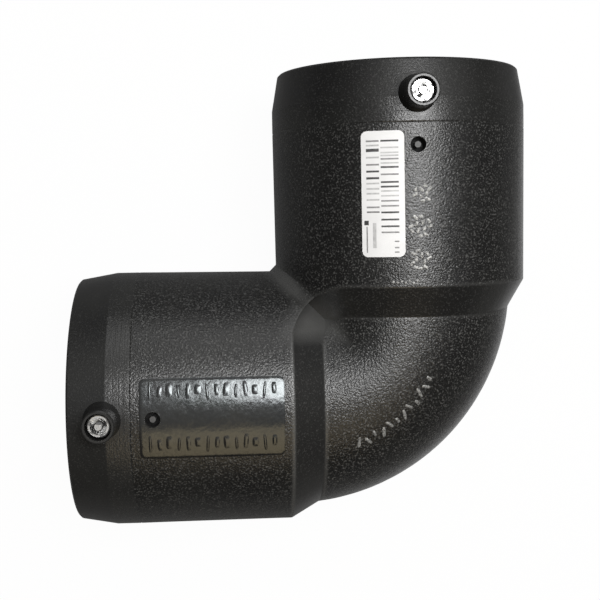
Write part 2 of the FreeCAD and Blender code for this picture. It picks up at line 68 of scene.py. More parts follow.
# The collars. The mouth, the lines in the moulding and the crotch's round are given as reaches.
COLLAR_RADIUS = CROSSING[2]
SHOULDER_RADIUS = COLLAR_RADIUS - 0.65 * MM
BORE_RADIUS = MOUNTS["upper_socket"]["dims"]["r_mm"] * MM
TURN_PER_METRE = 180 / np.pi / COLLAR_RADIUS
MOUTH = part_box("elbow_body")[1][1] - CROSSING[1]
BAND = MOUTH - 16.5 * MM
GROOVE = MOUTH - 27 * MM
SHOULDER = 52.9 * MM
FOOT = SHOULDER - 13.4 * MM
CORNER_START = SHOULDER - 26 * MM
CORNER_END = SHOULDER + 8 * MM
LINE = 0.4 * MM
FLARE_END = GROOVE - LINE

# The bend, which is a tube with oval sections about an upright axis.
BEND_RADIUS = 51.3 * MM
BEND_REACH = 102.35 * MM
BEND_TOP = 49.9 * MM
BEND_SLIMMING = 3.2 * MM

# The smooth rounds of the terminals and the indicators' wells, and the spots that they stand on.
TERMINAL_ROUND = 9.4 * MM
TERMINAL_SPOTS = [MOUNTS[f"{arm}_terminal_pin"]["pos_m"][:2] for arm in ARMS]
WELL_RADIUS = 3.3 * MM
PIN_RADIUS = 1.35 * MM
INDICATOR_SETBACK = 36.5 * MM
INDICATOR_REACH = MOUTH - INDICATOR_SETBACK
INDICATOR_SPOTS = [(CROSSING[0], CROSSING[1] + INDICATOR_REACH),
                   (CROSSING[0] - INDICATOR_REACH, CROSSING[1])]

# The label's film and its inks, each with a darker and a lighter grey.
LABEL_TURN = -14.7
LABEL_LENGTH = 52.5 * MM
FILM_TOP = 0.27 * MM
INKS = {"black_ink": (0.03, 0.09), "grey_ink": (0.18, 0.32), "faint_ink": (0.42, 0.56)}

# Bars on the label, in millimetres: the piece, its ink, the bars' middles and widths along the
# label from its outer end, and the middle and length of all of them across it.
LABEL_BARS = (
    ("label_right_black", "black_ink", (4.2, 15.1, 21.3, 23.2, 33.9, 36.9, 39.7), 0.75, 2.9, 7.4),
    ("label_right_grey", "grey_ink", (11.7, 18.1, 29.1, 31.2, 42.2), 0.65, 2.9, 7.4),
    ("label_right_faint", "faint_ink", (7.0, 9.1, 10.3, 25.0, 27.0, 13.4), 0.6, 2.9, 7.4),
    ("label_left_black", "black_ink", (8.0, 16.8, 19.6), (1.3, 0.8, 0.9), -4.2, 5.4),
    ("label_left_grey", "grey_ink", (4.2, 14.0, 31.7, 33.7), 0.7, -4.2, 5.4),
    ("label_left_faint", "faint_ink", (6.0, 11.0, 21.8, 24.0, 26.0, 28.6), 0.7, -4.2, 5.4),
    ("label_small", "grey_ink", (46.0, 48.6, 50.5), 0.6, 5.6, 1.9),
    ("label_line", "grey_ink", (45.2,), 11.0, -6.9, 0.55),
    ("label_second_line", "faint_ink", (43.5,), 10.5, -3.7, 1.5),
    ("label_spot", "black_ink", (38.2,), 1.9, -7.1, 1.9),
)

# Round marks on the upper collar: the middle's setback in millimetres and its turn, the number
# of strokes, and the size as a share of the full one.
ROUND_MARKS = ((56.6, 1.6, 9, 0.8), (70.3, 0.6, 12, 1.0), (84.2, 0.5, 11, 0.92))


def on_arm(arm, setback, turn, height=0.0):
    """Points on a collar, and higher by height: a circle about the arm's axis, at the given
    distance from the mouth and turn in degrees. Its radius grows evenly from the shoulder's
    corner to the fine groove and stays the same from there on."""
    setback, turn, height = np.broadcast_arrays(setback, np.radians(turn), height)
    along = MOUTH - setback
    radius = height + np.interp(along, (SHOULDER, FLARE_END), (SHOULDER_RADIUS, COLLAR_RADIUS))
    sideways = radius * np.sin(turn)
    up = radius * np.cos(turn)
    if arm == "upper":
        offset = np.stack([sideways, along, up], axis=-1)
    else:
        offset = np.stack([-along, -sideways, up], axis=-1)
    return CROSSING + offset


def on_bend(sweep, turn, height=0.0):
    """Points on the bend: oval sections about the bend's upright axis, which all reach the same
    outer circle. sweep runs from 0 degrees at the upper arm to 90 at the left one, and turn is
    round the section from its top. A section is narrower by the fourth power of the sine of
    twice its sweep."""
    sweep, turn, height = np.broadcast_arrays(np.radians(sweep), np.radians(turn), height)
    half_width = BEND_TOP - BEND_SLIMMING * np.sin(2 * sweep) ** 4
    reach = BEND_REACH - half_width + (half_width + height) * np.sin(turn)
    out = reach * np.cos(sweep) - BEND_RADIUS
    back = BEND_RADIUS - reach * np.sin(sweep)
    up = (BEND_TOP + height) * np.cos(turn)
    return CROSSING + np.stack([out, back, up], axis=-1)


def grid_faces(rows, columns):
    """The quads of one grid of points, numbered row by row."""
    first = np.arange(rows - 1)[:, None] * columns + np.arange(columns - 1)
    quads = np.stack([first, first + columns, first + columns + 1, first + 1], axis=-1)
    return quads.reshape(-1, 4)


def add_grids(name, points, material, gone=None):
    """One smooth object from an array of grids, shaped (grids, rows, columns, 3). Quads whose four
    points are all marked as gone are left out."""
    grids, rows, columns, _ = points.shape
    quads = grid_faces(rows, columns)
    quads = (np.arange(grids)[:, None, None] * rows * columns + quads).reshape(-1, 4)
    if gone is not None:
        quads = quads[~gone.reshape(-1)[quads].all(axis=1)]
    mesh = bpy.data.meshes.new(name)
    mesh.from_pydata(points.reshape(-1, 3).tolist(), [], quads.tolist())
    mesh.shade_smooth()
    mesh.materials.append(material)
    piece = bpy.data.objects.new(name, mesh)
    bpy.context.collection.objects.link(piece)
    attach(piece, "root")


def rounded_plan(half_length, half_width, corner, rows, columns):
    """A grid that fills a rectangle with round corners: in each corner's square, points are drawn
    in along their ray until square rings become round ones."""
    along = np.linspace(-half_length, half_length, rows)[:, None] + np.zeros(columns)
    across = np.linspace(-half_width, half_width, columns) + np.zeros((rows, 1))
    in_along = np.maximum(np.abs(along) - (half_length - corner), 0)
    in_across = np.maximum(np.abs(across) - (half_width - corner), 0)
    pull = np.maximum(in_along, in_across) / np.maximum(np.hypot(in_along, in_across), 1e-12)
    pull = np.where((in_along > 0) & (in_across > 0), pull, 1.0)
    along = np.sign(along) * (np.abs(along) - in_along + in_along * pull)
    across = np.sign(across) * (np.abs(across) - in_across + in_across * pull)
    return along, across


def edge_rise(along, across, half_length, half_width, corner, slope):
    """0 at the border of a round-cornered rectangle, and rising smoothly to 1 over the slope's
    width: the distance from the border as a share of that width, squared, times 3 less twice
    the share."""
    gap_along = np.abs(along) - (half_length - corner)
    gap_across = np.abs(across) - (half_width - corner)
    outside = np.hypot(np.maximum(gap_along, 0), np.maximum(gap_across, 0))
    distance = corner - outside - np.minimum(np.maximum(gap_along, gap_across), 0)
    share = np.clip(distance / slope, 0, 1)
    return share * share * (3 - 2 * share)


def strokes(centre_along, centre_across, angle, length, width, rise):
    """Raised strokes in a flat plan, each a small grid: a round-ended bar of the given length and
    width, turned by its angle in degrees, whose height rises smoothly from the border."""
    given = (centre_along, centre_across, np.radians(angle), length, width)
    centre_along, centre_across, angle, length, width = (
        values[:, None, None] for values in np.broadcast_arrays(*given))
    corner, slope = 0.6, 0.7
    share_along, share_across = rounded_plan(1.0, 1.0, corner, 9, 7)
    lift = edge_rise(share_along, share_across, 1.0, 1.0, corner, slope) * rise
    along = share_along * length / 2
    across = share_across * width / 2
    turned_along = along * np.cos(angle) - across * np.sin(angle)
    turned_across = along * np.sin(angle) + across * np.cos(angle)
    return (centre_along + turned_along, centre_across + turned_across,
            lift + np.zeros_like(along))


class Nodes:
    """A node tree, with short ways to add nodes and to join them."""

    def __init__(self, tree):
        self.tree = tree

    def add(self, kind, settings=None, **sockets):
        """A node with its settings, and each named socket set or joined."""
        node = self.tree.nodes.new(kind)
        for name, value in (settings or {}).items():
            setattr(node, name, value)
        for name, value in sockets.items():
            self.feed(node.inputs[name.replace("_", " ")], value)
        return node

    def feed(self, socket, value):
        """Sets a socket to a value, or joins it to another node's output."""
        if isinstance(value, bpy.types.NodeSocket):
            self.tree.links.new(value, socket)
        else:
            socket.default_value = value

    def math(self, operation, first, second=0.0, third=0.0):
        """The result of one arithmetic step."""
        node = self.add("ShaderNodeMath", {"operation": operation})
        for socket, value in zip(node.inputs, (first, second, third)):
            self.feed(socket, value)
        return node.outputs[0]

    def squares(self, first, second):
        """The sum of the squares of two values."""
        return self.math("MULTIPLY_ADD", first, first, self.math("MULTIPLY", second, second))

    def fade(self, value, none, full):
        """0 where value is at or past none, 1 at or past full, and even in between."""
        node = self.add("ShaderNodeMapRange", Value=value, From_Min=none, From_Max=full)
        return node.outputs["Result"]

    def ramp(self, factor, stops):
        """A colour that follows factor through the stops, each (position, colour or grey)."""
        node = self.add("ShaderNodeValToRGB", Fac=factor)
        elements = node.color_ramp.elements
        while len(elements) < len(stops):
            elements.new(0.5)
        for element, (position, colour) in zip(elements, stops):
            element.position = position
            element.color = (*np.broadcast_to(colour, 3), 1.0)
        return node.outputs["Color"]

    def mix(self, share, first, second):
        """The first colour at a share of 0, the second at 1, and even in between."""
        node = self.add("ShaderNodeMix", {"data_type": "RGBA"})
        for index, value in ((0, share), (6, first), (7, second)):
            self.feed(node.inputs[index], value)
        return node.outputs[2]


class Finish(Nodes):
    """A new material on the object's own coordinates."""

    def __init__(self, name):
        self.material = bpy.data.materials.new(name)
        self.material.use_nodes = True
        super().__init__(self.material.node_tree)
        self.shader = self.tree.nodes["Principled BSDF"]
        self.place = self.add("ShaderNodeTexCoord").outputs["Object"]

    def axes(self):
        """The coordinates one by one."""
        return self.add("ShaderNodeSeparateXYZ", Vector=self.place).outputs

    def noise(self, scale, detail=2.0, roughness=0.5, vector=None):
        """Fractal noise from 0 to 1, on the object's coordinates unless others are given."""
        node = self.add("ShaderNodeTexNoise", Scale=scale, Detail=detail, Roughness=roughness,
                        Vector=vector or self.place)
        return node.outputs["Fac"]

    def from_spots(self, axes, spots):
        """The square of the distance from the nearest upright axis through one of the spots."""
        nearest = 1.0
        for spot in spots:
            off_x = self.math("SUBTRACT", axes["X"], spot[0])
            off_y = self.math("SUBTRACT", axes["Y"], spot[1])
            nearest = self.math("MINIMUM", nearest, self.squares(off_x, off_y))
        return nearest

    def bump(self, height, distance):
        """Feeds the shader's normal with a relief of the given depth."""
        node = self.add("ShaderNodeBump", Height=height, Distance=distance, Strength=1.0)
        self.feed(self.shader.inputs["Normal"], node.outputs["Normal"])

    def set(self, **sockets):
        """Sets or joins the shader's named sockets."""
        for name, value in sockets.items():
            self.feed(self.shader.inputs[name.replace("_", " ")], value)


def along_arms(finish, upper, left):
    """The reach of a point on its own arm, and its share in the crotch's web. Between the two
    shoulders the lines of equal reach are round: the reach is then the distance from the point
    where both arms have come to the corner's start, added to that start."""
    past = [finish.math("MAXIMUM", finish.math("SUBTRACT", reach, CORNER_START), 0.0)
            for reach in (upper, left)]
    from_start = finish.math("SQRT", finish.squares(*past))
    straight = finish.math("MAXIMUM", upper, left)
    in_corner = finish.math("LESS_THAN", straight, CORNER_END)
    rounded = finish.math("MULTIPLY", finish.math("ADD", from_start, CORNER_START), in_corner)
    in_web = finish.math("MULTIPLY", finish.fade(from_start, 34 * MM, 22 * MM),
                         finish.fade(finish.math("MINIMUM", *past), 0.0, 7 * MM))
    return finish.math("MAXIMUM", straight, rounded), in_web


def by_reach(finish, reach, stops):
    """A colour that follows the reach through the stops, each (reach, colour or grey)."""
    share = finish.math("DIVIDE", reach, MOUTH)
    return finish.ramp(share, [(stop / MOUTH, colour) for stop, colour in stops])


def calm_places(finish, axes, upper, left):
    """1 in the bores, round the terminals and in the indicators' wells, and the same for the
    wells alone."""
    height = finish.math("SUBTRACT", axes["Z"], CROSSING[2])
    above = finish.math("GREATER_THAN", height, 0.0)
    rounds, wells = (
        finish.math("MULTIPLY", above, finish.math(
            "LESS_THAN", finish.from_spots(axes, spots), radius ** 2))
        for spots, radius in ((TERMINAL_SPOTS, TERMINAL_ROUND), (INDICATOR_SPOTS, WELL_RADIUS)))
    calm_and_shaded = finish.math("MAXIMUM", rounds, wells)
    for reach, off in ((upper, left), (left, upper)):
        inside = finish.math("LESS_THAN", finish.squares(off, height), (BORE_RADIUS + 2 * MM) ** 2)
        in_bore = finish.math("MULTIPLY", inside, finish.math("GREATER_THAN", reach, FOOT))
        calm_and_shaded = finish.math("MAXIMUM", calm_and_shaded, in_bore)
    return calm_and_shaded, wells


def painted_highlights(finish, upper, left, reach, in_web):
    """How far the plastic is painted pale as painted highlights: at both lines of the shoulder, a
    little from the groove to the mouth, in the web on the left arm's side, and on the ridge in the
    middle of the web. The left arm's side is the lit one, and the upper arm's lines have less than
    half of its painted highlights."""
    lines = by_reach(finish, reach, (
        (FOOT - 1.6 * MM, 0.0),
        (FOOT - 0.4 * MM, 0.7),
        (FOOT + 0.6 * MM, 0.09),
        (SHOULDER - 0.6 * MM, 0.09),
        (SHOULDER + 0.4 * MM, 0.9),
        (SHOULDER + 1.8 * MM, 0.0),
        (GROOVE - LINE, 0.0),
        (GROOVE + LINE, 0.13),
        (BAND - LINE, 0.13),
        (BAND + LINE, 0.1),
    ))
    lead = finish.math("SUBTRACT", upper, left)
    # The left arm's side of the diagonal is the lit side, where the painted highlights are
    # strongest.
    lit_side = finish.fade(lead, 12 * MM, -1 * MM)
    lines = finish.math("MULTIPLY", lines, finish.math("MULTIPLY_ADD", lit_side, 0.6, 0.4))
    web = finish.math("MULTIPLY", in_web, finish.math("MULTIPLY", lit_side, 0.9))
    middle = finish.fade(finish.math("ABSOLUTE", lead), 8 * MM, 2 * MM)
    far_in = finish.fade(finish.math("MINIMUM", upper, left), 41 * MM, 50 * MM)
    ridge = finish.math("MULTIPLY", finish.math("MULTIPLY", middle, far_in), 0.8)
    return finish.math("MAXIMUM", finish.math("MAXIMUM", lines, web), ridge)


def moulded_black(settings):
    """The moulded black polyethylene: speckled on the collars and the bend, combed between the
    two lines near each mouth, smoother on the mouth bands, shoulders, shrouds and bores, dull in
    the indicators' wells, with painted glints on the speckle's tips, and with painted highlights
    in pale lines along the shoulders, the groove and the band and in the crotch's web."""
    finish = Finish("black_polyethylene")
    axes = finish.axes()
    upper = finish.math("SUBTRACT", axes["Y"], CROSSING[1])
    left = finish.math("SUBTRACT", CROSSING[0], axes["X"])
    reach, in_web = along_arms(finish, upper, left)
    calm_and_shaded, wells = calm_places(finish, axes, upper, left)

    # The shares of speckle, of comb and of roughness in each zone of an arm.
    zones = by_reach(finish, reach, (
        (FOOT - LINE, (1.0, 0.0, 0.5)),
        (FOOT + LINE, (0.35, 0.0, 0.6)),
        (SHOULDER - LINE, (0.35, 0.0, 0.6)),
        (SHOULDER + LINE, (0.85, 0.0, 0.5)),
        (GROOVE - LINE, (0.75, 0.1, 0.5)),
        (GROOVE + LINE, (0.45, 0.8, 0.5)),
        (BAND - LINE, (0.4, 0.8, 0.5)),
        (BAND + LINE, (0.25, 0.1, 0.6)),
    ))
    shares = finish.add("ShaderNodeSeparateColor", Color=zones).outputs
    # In the calm places the speckle and its painted glints are mostly left out; the darker colour
    # this gives round the terminals and in the wells is partly painted shade.
    lively = finish.math("SUBTRACT", 1.0, finish.math("MULTIPLY", calm_and_shaded, 0.85))
    speckle = finish.math("MULTIPLY", shares["Red"], lively)

    # The comb's lines run round the arm, because its noise hardly changes with the height.
    grain = finish.noise(settings.speckle_scale, 1.6, 0.5)
    round_arm = finish.add("ShaderNodeCombineXYZ", X=reach,
                           Y=finish.math("MULTIPLY", axes["Z"], 0.03)).outputs[0]
    comb = finish.math("MULTIPLY", finish.noise(1500.0, 2.0, 0.5, round_arm), shares["Green"])
    relief = finish.math("MULTIPLY_ADD", comb, 0.35, finish.math("MULTIPLY", grain, speckle))
    finish.bump(relief, settings.speckle_depth)

    cloud = finish.noise(28.0, 3.0, 0.55)
    tone = finish.ramp(cloud, [(0.3, settings.dark), (0.7, settings.light)])
    # The speckle's highest grains are painted pale: painted glints, mostly left out in the calm
    # places.
    painted_glints = finish.math("MULTIPLY", finish.ramp(grain, [(0.55, 0.0), (0.68, 1.0)]), speckle)
    # Painted highlights along the shoulders, the grooves and the web, broken up by the clouds.
    highlight_share = finish.math("MULTIPLY", painted_highlights(finish, upper, left, reach, in_web),
                         finish.math("MULTIPLY_ADD", cloud, 0.8, 0.42))
    pale = finish.mix(finish.math("MAXIMUM", painted_glints, highlight_share), tone, (*settings.painted_glints, 1.0))
    finish.set(Base_Color=pale, Specular_IOR_Level=settings.gloss)

    rough = finish.math("MULTIPLY_ADD", grain, 0.2, settings.roughness - 0.2)
    rough = finish.math("MULTIPLY_ADD", wells, 0.5, rough)
    finish.set(Roughness=finish.math("MULTIPLY_ADD", shares["Blue"], 0.3, rough))
    return finish.material


def polished_black():
    """Polished black polyethylene with faint waves and scuffs, as on a window in the mould."""
    finish = Finish("polished_polyethylene")
    waves = finish.noise(260.0)
    scuffs = finish.noise(900.0, 3.0, 0.6)
    finish.bump(finish.math("MULTIPLY_ADD", scuffs, 0.25, waves), 0.10 * MM)
    tone = finish.ramp(finish.noise(45.0), [(0.35, (0.006, 0.006, 0.0065)),
                                            (0.75, (0.017, 0.015, 0.012))])
    finish.set(Base_Color=tone, Roughness=finish.math("MULTIPLY_ADD", scuffs, 0.25, 0.06))
    finish.set(Specular_IOR_Level=0.8, Specular_Tint=(0.92, 0.98, 1.0, 1.0))
    return finish.material


def marks_with_painted_glints(name, pale):
    """Raised marks of the same plastic, painted pale in grainy patches: a painted highlight for
    the glints on the marks.
    """
    finish = Finish(name)
    grain = finish.noise(1400.0, 2.0, 0.6)
    # The pale colour is a painted highlight, standing in for the marks' glints.
    tone = finish.ramp(grain, [(0.35, 0.1 * pale), (0.6, (pale, pale, 0.97 * pale))])
    finish.set(Base_Color=tone, Roughness=0.3, Specular_IOR_Level=0.6)
    finish.bump(grain, 0.12 * MM)
    return finish.material


def bright_plating():
    """The bright plated contact: fine turning rings about its axis and a few dull spots."""
    finish = Finish("plated_metal")
    radius = finish.math("SQRT", finish.from_spots(finish.axes(), TERMINAL_SPOTS))
    outwards = finish.add("ShaderNodeCombineXYZ", X=radius).outputs[0]
    rings = finish.noise(2600.0, 1.0, 0.5, outwards)
    spots = finish.noise(330.0, 1.0)
    tone = finish.ramp(spots, [(0.36, 0.2), (0.5, (0.88, 0.88, 0.87))])
    finish.set(Base_Color=tone, Metallic=1.0)
    finish.set(Roughness=finish.math("MULTIPLY_ADD", finish.fade(spots, 0.48, 0.38), 0.4, 0.24))
    finish.bump(rings, 0.05 * MM)
    return finish.material


def drawn_wire():
    """Copper-coloured resistance wire, drawn and slightly oxidised."""
    finish = Finish("resistance_wire")
    stain = finish.noise(500.0, 3.0, 0.6)
    tone = finish.ramp(stain, [(0.3, (0.30, 0.15, 0.08)), (0.7, (0.62, 0.34, 0.2))])
    finish.set(Base_Color=tone, Metallic=1.0)
    finish.set(Roughness=finish.math("MULTIPLY_ADD", stain, 0.3, 0.25))
    return finish.material


def grey_plug():
    """The indicator plugs: a grey pin, by the distance from its axis, on a dull foot painted
    nearly black, which is painted shade in the well.
    """
    finish = Finish("grey_polyethylene")
    from_axis = finish.from_spots(finish.axes(), INDICATOR_SPOTS)
    on_pin = finish.math("LESS_THAN", from_axis, PIN_RADIUS ** 2)
    grain = finish.noise(1200.0)
    grey = finish.math("MULTIPLY_ADD", grain, 0.06, 0.03)
    # Off the pin the plug is painted nearly black: painted shade in the indicator's well.
    finish.set(Base_Color=finish.math("MULTIPLY_ADD", on_pin, grey, 0.004))
    finish.set(Roughness=finish.math("MULTIPLY_ADD", on_pin, -0.35, 0.85))
    finish.bump(grain, 0.05 * MM)
    return finish.material


def white_film():
    """Satin white label film with slight waves where it was rubbed down."""
    finish = Finish("white_film")
    waves = finish.noise(120.0)
    tone = finish.ramp(waves, [(0.3, 0.76), (0.7, 0.83)])
    finish.set(Base_Color=tone, Roughness=finish.math("MULTIPLY_ADD", waves, 0.15, 0.4))
    finish.bump(waves, 0.06 * MM)
    return finish.material


def thermal_ink(name, dark, light):
    """Thermal print, between a darker and a lighter grey along each bar."""
    finish = Finish(name)
    tone = finish.ramp(finish.noise(700.0), [(0.3, dark), (0.75, light)])
    finish.set(Base_Color=tone, Roughness=0.5)
    return finish.material


def dress(node, material):
    """Gives a node of the model its finished material."""
    frame["nodes"][node].data.materials[0] = material


class MouldingSettings(bpy.types.PropertyGroup):
    """The moulded body's colour and speckle."""

    dark: FloatVectorProperty(
        name="Dark tone", description="Colour of the darker clouds in the plastic",
        subtype="COLOR", size=3, min=0, max=1, default=(0.0072, 0.0072, 0.0073))
    light: FloatVectorProperty(
        name="Light tone", description="Colour of the lighter clouds in the plastic",
        subtype="COLOR", size=3, min=0, max=1, default=(0.0125, 0.0125, 0.0117))
    # The colour of the painted glints on the speckle's highest grains.
    painted_glints: FloatVectorProperty(
        name="Worn tips", description="Colour of the highest grains of the speckle",
        subtype="COLOR", size=3, min=0, max=1, default=(0.09, 0.09, 0.087))
    gloss: FloatProperty(
        name="Gloss", description="Strength of the reflections, 0.5 for common plastic",
        subtype="FACTOR", min=0, max=1, default=0.5)
    roughness: FloatProperty(
        name="Roughness", description="Mean roughness of the speckled faces",
        subtype="FACTOR", min=0, max=1, default=0.24)
    speckle_scale: FloatProperty(
        name="Speckle scale", description="Grains of the speckle per metre",
        min=50, max=3000, default=1300)
    speckle_depth: FloatProperty(
        name="Speckle depth", description="Depth of the speckle's relief",
        subtype="DISTANCE", unit="LENGTH", min=0, max=2 * MM, default=0.28 * MM)


class LabelSettings(bpy.types.PropertyGroup):
    """The bars printed on the label."""

    ink_height: FloatProperty(
        name="Ink height", description="Height of the print over the film",
        subtype="DISTANCE", unit="LENGTH", min=0, max=0.2 * MM, default=0.012 * MM)


class WindowSettings(bpy.types.PropertyGroup):
    """The polished window on the left collar."""

    setback: FloatProperty(
        name="Setback", description="Mouth to the near end of the window",
        subtype="DISTANCE", unit="LENGTH", default=30.8 * MM)
    length: FloatProperty(
        name="Length", description="Length of the window along the collar",
        subtype="DISTANCE", unit="LENGTH", default=61 * MM)
    half_turn: FloatProperty(
        name="Half turn", description="Half the window's width round the collar",
        subtype="ANGLE", unit="ROTATION", default=float(np.radians(17)))
    rise: FloatProperty(
        name="Rise", description="Height of the window over the collar",
        subtype="DISTANCE", unit="LENGTH", default=0.12 * MM)
    relief: FloatProperty(
        name="Relief", description="Height of the bars in the window",
        subtype="DISTANCE", unit="LENGTH", default=0.2 * MM)
    well_radius: FloatProperty(
        name="Well radius", description="Radius of the opening round the indicator",
        subtype="DISTANCE", unit="LENGTH", default=3.45 * MM)


class MarkSettings(bpy.types.PropertyGroup):
    """The raised marks on the upper collar and on the bend."""

    mark_radius: FloatProperty(
        name="Mark radius", description="Outer radius of the round marks",
        subtype="DISTANCE", unit="LENGTH", default=4.8 * MM)
    relief: FloatProperty(
        name="Relief", description="Height of the raised marks",
        subtype="DISTANCE", unit="LENGTH", default=0.35 * MM)
    bend_strokes: IntProperty(
        name="Strokes on the bend", description="Raised strokes in the arc on the bend",
        min=0, max=60, default=12)


class StageSettings(bpy.types.PropertyGroup):
    """The camera and the studio light."""

    camera_place: FloatVectorProperty(
        name="Camera", description="Where the camera stands",
        subtype="TRANSLATION", unit="LENGTH", size=3, default=(-0.03143, 0.03938, 0.53661))
    camera_turn: FloatVectorProperty(
        name="Camera turn", description="The camera's turns about X, Y and Z, from straight down",
        subtype="EULER", size=3, default=tuple(np.radians((-2.3855, -1.5541, -1.0375)).tolist()))
    lens: FloatProperty(
        name="Lens", description="Focal length in millimetres on a sensor of 36",
        unit="CAMERA", default=61.04)
    shift: FloatVectorProperty(
        name="Shift", description="Lens shift, across and up, in parts of the image",
        size=2, default=(0.0637, -0.0722))
    key_power: FloatProperty(
        name="Key light", description="Power of the large soft light overhead",
        subtype="POWER", unit="POWER", default=7.7)
    back_power: FloatProperty(
        name="Back light", description="Power of the soft light behind the upper mouth",
        subtype="POWER", unit="POWER", default=4.3)
    card_power: FloatProperty(
        name="Warm card", description="Power of the dim warm card in front",
        subtype="POWER", unit="POWER", default=1.35)


class ElbowOperator:
    """What all the operators here share."""

    bl_options = {"REGISTER", "UNDO"}


class ELBOW_OT_moulding(ElbowOperator, bpy.types.Operator):
    """Finishes the moulded body"""

    bl_idname = "elbow.moulding"
    bl_label = "Moulded body"

    def execute(self, context):
        dress("elbow_body", moulded_black(context.scene.elbow_moulding))
        return {"FINISHED"}


class ELBOW_OT_terminals(ElbowOperator, bpy.types.Operator):
    """Finishes the terminals, the wire and the indicator plugs"""

    bl_idname = "elbow.terminals"
    bl_label = "Terminals, wire and plugs"

    def execute(self, context):
        plating = bright_plating()
        plug = grey_plug()
        for arm in ARMS:
            dress(f"{arm}_terminal", plating)
            dress(f"{arm}_indicator", plug)
        dress("heating_wire", drawn_wire())
        return {"FINISHED"}


class ELBOW_OT_label(ElbowOperator, bpy.types.Operator):
    """Finishes the label's film and prints generic bars on it"""

    bl_idname = "elbow.label"
    bl_label = "Label"

    def execute(self, context):
        dress("label", white_film())
        inks = {name: thermal_ink(name, *greys) for name, greys in INKS.items()}
        low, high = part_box("label")
        outer_end = MOUTH + CROSSING[1] - high[1]
        stretch = (high[1] - low[1]) / LABEL_LENGTH
        ink_top = FILM_TOP + context.scene.elbow_label.ink_height
        for name, ink, *bars in LABEL_BARS:
            middle, width, centre, length = (
                values[:, None, None] * MM for values in np.broadcast_arrays(*bars))
            setback = outer_end + stretch * middle + width * np.array([-0.5, 0.5])[:, None]
            across = centre + length * np.linspace(-0.5, 0.5, 6)
            turn = LABEL_TURN + across * TURN_PER_METRE
            add_grids(name, on_arm("upper", setback, turn, ink_top), inks[ink])
        return {"FINISHED"}


class ELBOW_OT_window(ElbowOperator, bpy.types.Operator):
    """Makes the polished window on the left collar, with plain raised bars in two rows"""

    bl_idname = "elbow.window"
    bl_label = "Polished window"

    def execute(self, context):
        settings = context.scene.elbow_window
        polish = polished_black()
        self.add_sheet(settings, polish)
        self.add_bars(settings, polish)
        return {"FINISHED"}

    def add_sheet(self, settings, polish):
        """The window: a round-cornered sheet whose slope starts just under the collar. Points in
        the opening round the indicator are moved out to its edge, along their ray."""
        corner, slope, sunk = 2.5 * MM, 0.8 * MM, 0.05 * MM
        half_length = settings.length / 2
        half_width = settings.half_turn * COLLAR_RADIUS
        middle = settings.setback + half_length
        along, across = rounded_plan(half_length, half_width, corner, 123, 71)
        well = INDICATOR_SETBACK - middle
        from_well = np.hypot(along - well, across)
        gone = from_well < settings.well_radius
        pull = settings.well_radius / np.maximum(from_well, 1e-9)
        along = np.where(gone, well + (along - well) * pull, along)
        across = np.where(gone, across * pull, across)
        rise = edge_rise(along, across, half_length, half_width, corner, slope)
        height = (settings.rise + sunk) * rise - sunk
        sheet = on_arm("left", middle + along, across * TURN_PER_METRE, height)
        add_grids("window", sheet[None], polish, gone)

    def add_bars(self, settings, polish):
        """Two rows of plain raised bars, whose widths, lengths and leans change along the row."""
        count, pitch = 14, 4.0 * MM
        order = np.arange(count)
        middle = settings.setback + settings.length / 2
        setback = middle + (order - (count - 1) / 2) * pitch
        width = (1.3 + 0.8 * (order % 3)) * MM
        length = (7.4 - 1.6 * (order % 2) - 0.8 * (order % 3)) * MM
        rows = []
        for centre, lean in ((-11.8 * MM, 7.0), (10.5 * MM, -5.0)):
            across = centre + 0.5 * MM * np.sin(order * 2.3)
            angle = lean * np.sin(order * 1.7)
            along, across, lift = strokes(setback, across, angle, width, length, settings.relief)
            rows.append(on_arm("left", along, across * TURN_PER_METRE, lift + settings.rise))
        add_grids("window_bars", np.concatenate(rows), polish)


